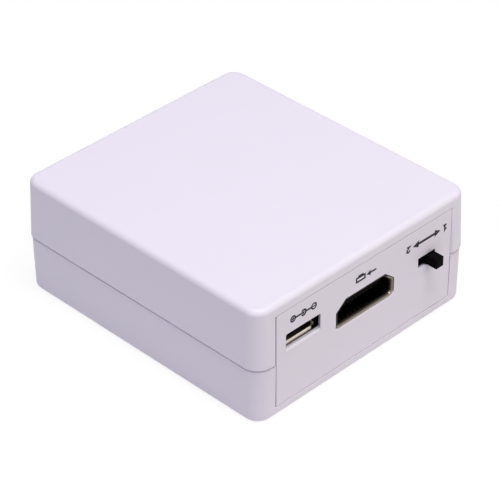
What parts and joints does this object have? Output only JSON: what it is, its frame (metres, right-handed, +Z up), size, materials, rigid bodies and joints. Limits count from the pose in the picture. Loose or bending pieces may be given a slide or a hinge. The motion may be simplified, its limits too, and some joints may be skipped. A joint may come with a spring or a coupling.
{
  "type": "video converter",
  "caption": "Small white desktop box that turns composite video from phono jacks into a digital video output, with a power socket and a two-position slide switch.",
  "frame": {"origin": "centre of the flat face that the box lies on, in the middle of the case's footprint", "axes": "+Y from the output panel towards the phono jacks, +X to the right as the output panel is seen in the picture, +Z up from the face that the box lies on"},
  "size_m": [0.056, 0.0728, 0.0245],
  "materials": {
    "white_abs": "moulded, fine satin",
    "nickel_plate": "plated sheet",
    "black_plastic": "moulded",
    "gold_contact": "gold flash",
    "tinned_lead": "tinned",
    "green_board": "solder mask",
    "zinc_screw": "zinc plated",
    "yellow_plastic": "moulded",
    "white_plastic": "moulded",
    "red_plastic": "moulded",
    "phenolic_brown": "pressed",
    "chip_epoxy": "moulded epoxy",
    "can_aluminium": "drawn",
    "ferrite_grey": "pressed",
    "resistor_black": "glazed",
    "ceramic_tan": "fired"
  },
  "bodies": {
    "case": {"base_shell": "white_abs", "cover_shell": "white_abs", "output_panel": "white_abs", "input_panel": "white_abs", "circuit_board": "green_board", "board_screws": "zinc_screw", "video_out_shell": "nickel_plate", "video_out_body": "black_plastic", "video_out_contacts": "gold_contact", "power_socket_shell": "nickel_plate", "power_socket_body": "black_plastic", "power_socket_contacts": "gold_contact", "switch_frame": "nickel_plate", "switch_base": "phenolic_brown", "switch_terminals": "tinned_lead", "jack_housing": "black_plastic", "yellow_jack_core": "yellow_plastic", "white_jack_core": "white_plastic", "red_jack_core": "red_plastic", "yellow_jack_barrel": "nickel_plate", "white_jack_barrel": "nickel_plate", "red_jack_barrel": "nickel_plate", "yellow_jack_contact": "nickel_plate", "white_jack_contact": "nickel_plate", "red_jack_contact": "nickel_plate", "jack_ground_strips": "tinned_lead", "main_chip": "chip_epoxy", "main_chip_leads": "tinned_lead", "memory_chip": "chip_epoxy", "memory_chip_leads": "tinned_lead", "regulator": "chip_epoxy", "regulator_leads": "tinned_lead", "crystal": "nickel_plate", "can_capacitors": "can_aluminium", "can_bases": "black_plastic", "coil": "ferrite_grey", "chip_resistors": "resistor_black", "chip_capacitors": "ceramic_tan"},
    "switch_slide": {"switch_knob": "black_plastic", "switch_wiper": "gold_contact"}
  },
  "joints": [
    {"name": "switch_travel", "type": "slide", "parent": "case", "child": "switch_slide", "axis": [1, 0, 0], "range_m": [-0.002, 0]}
  ]
}
